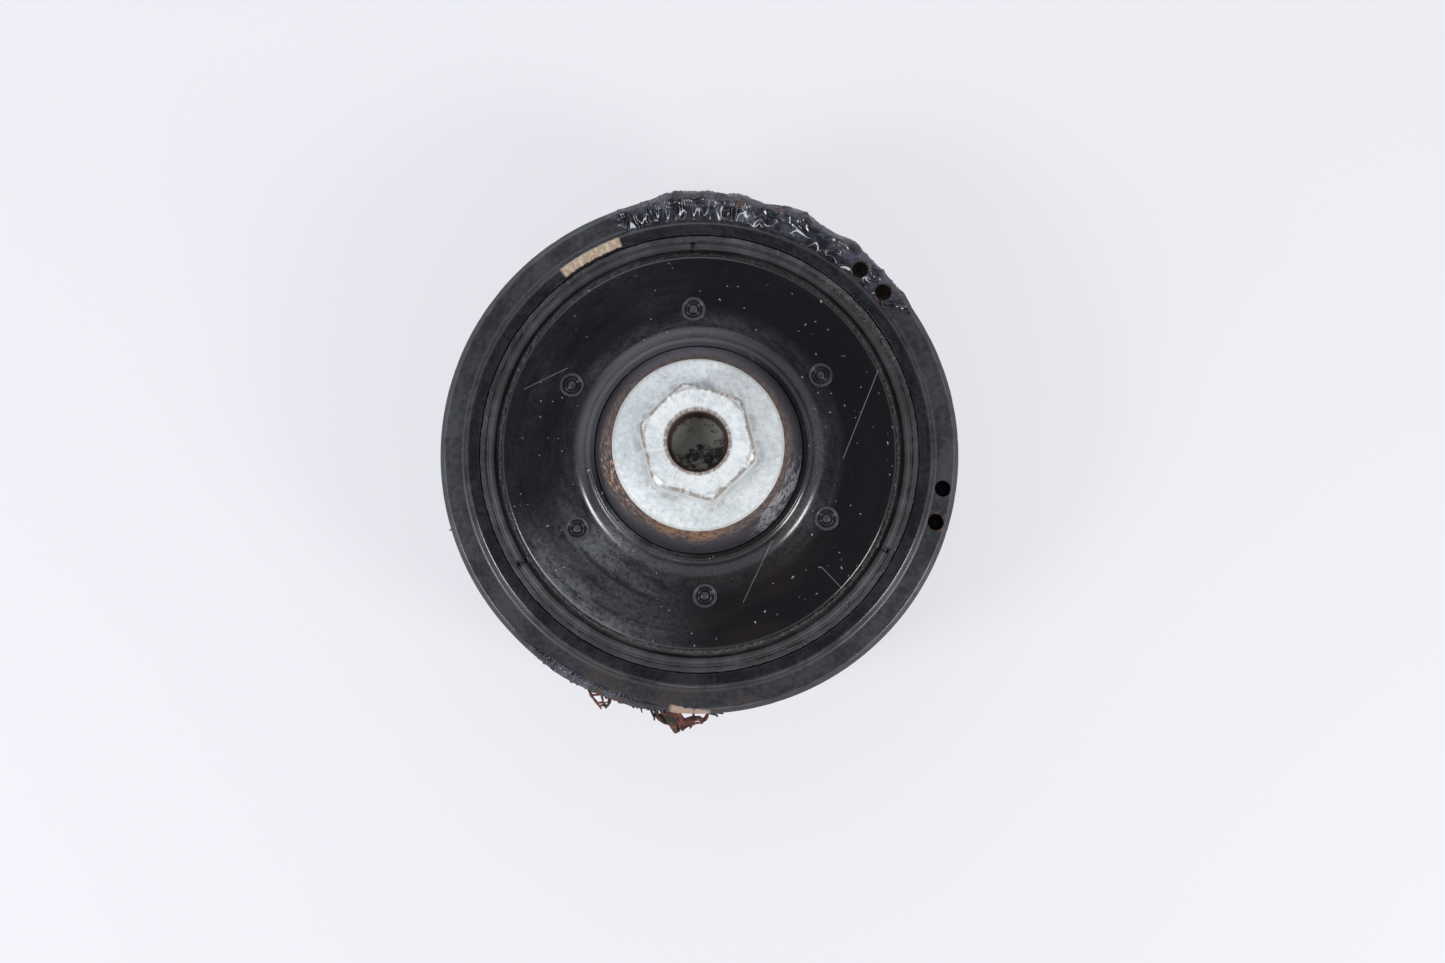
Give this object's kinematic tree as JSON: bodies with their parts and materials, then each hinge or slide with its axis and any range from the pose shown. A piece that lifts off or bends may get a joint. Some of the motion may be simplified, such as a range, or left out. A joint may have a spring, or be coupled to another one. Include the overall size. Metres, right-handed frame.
{
  "type": "crankshaft pulley damper",
  "caption": "Round crankshaft pulley with a conical hub nose, a pressed front plate, a rubber-mounted inertia ring, a ribbed belt rim on a rubber decoupler, and its flanged centre bolt.",
  "frame": {"origin": "centre of the hub's rear seating face, where it meets the crankshaft's shoulder; the part lies on this face at Z = 0", "axes": "+Z along the crank axis towards the front of the engine and the bolt's head; +X and +Y across the pulley, with +Y towards the smeared side of its edge"},
  "size_m": [0.155, 0.1625, 0.0905],
  "materials": {
    "forged_steel": "turned forging, rusty above the paint line",
    "black_paint": "glossy black stove enamel on pressed steel",
    "rivet_steel": "black painted rivet heads",
    "damper_rubber": "matt moulded rubber",
    "ring_paint": "satin black paint on cast iron",
    "rim_paint": "satin black paint, grooves polished by the belt",
    "pressed_steel": "phosphated pressed steel",
    "decoupler_rubber": "matt moulded rubber",
    "bearing_plastic": "moulded polyamide",
    "bolt_plating": "dull zinc plating",
    "belt_residue": "smeared, wrinkled belt rubber",
    "belt_shreds": "torn cord and rubber crumb"
  },
  "bodies": {
    "hub_body": {"hub": "forged_steel", "front_plate": "black_paint", "plate_rivets": "rivet_steel", "damper_rubber": "damper_rubber", "decoupler_inner_sleeve": "pressed_steel", "decoupler_rubber": "decoupler_rubber", "rear_retainer": "pressed_steel"},
    "damper_ring": {"inertia_ring": "ring_paint", "belt_smear": "belt_residue", "belt_shreds": "belt_shreds"},
    "belt_pulley": {"belt_rim": "rim_paint", "decoupler_outer_sleeve": "pressed_steel", "guide_bush": "bearing_plastic", "front_thrust_washer": "bearing_plastic", "rear_thrust_washer": "bearing_plastic"},
    "centre_bolt": {"crank_bolt": "bolt_plating"}
  },
  "joints": [
    {"name": "damper_twist", "type": "hinge", "parent": "hub_body", "child": "damper_ring", "pos_m": [0, 0, 0.038], "axis": [0, 0, 1], "range_deg": [-1.5, 1.5], "stiffness_Nm_per_rad": 900},
    {"name": "decoupler_twist", "type": "hinge", "parent": "hub_body", "child": "belt_pulley", "pos_m": [0, 0, 0.0143], "axis": [0, 0, 1], "range_deg": [-15, 15], "stiffness_Nm_per_rad": 60},
    {"name": "bolt_turn", "type": "hinge", "parent": "hub_body", "child": "centre_bolt", "pos_m": [0, 0, 0.0765], "axis": [0, 0, 1], "continuous": true}
  ]
}
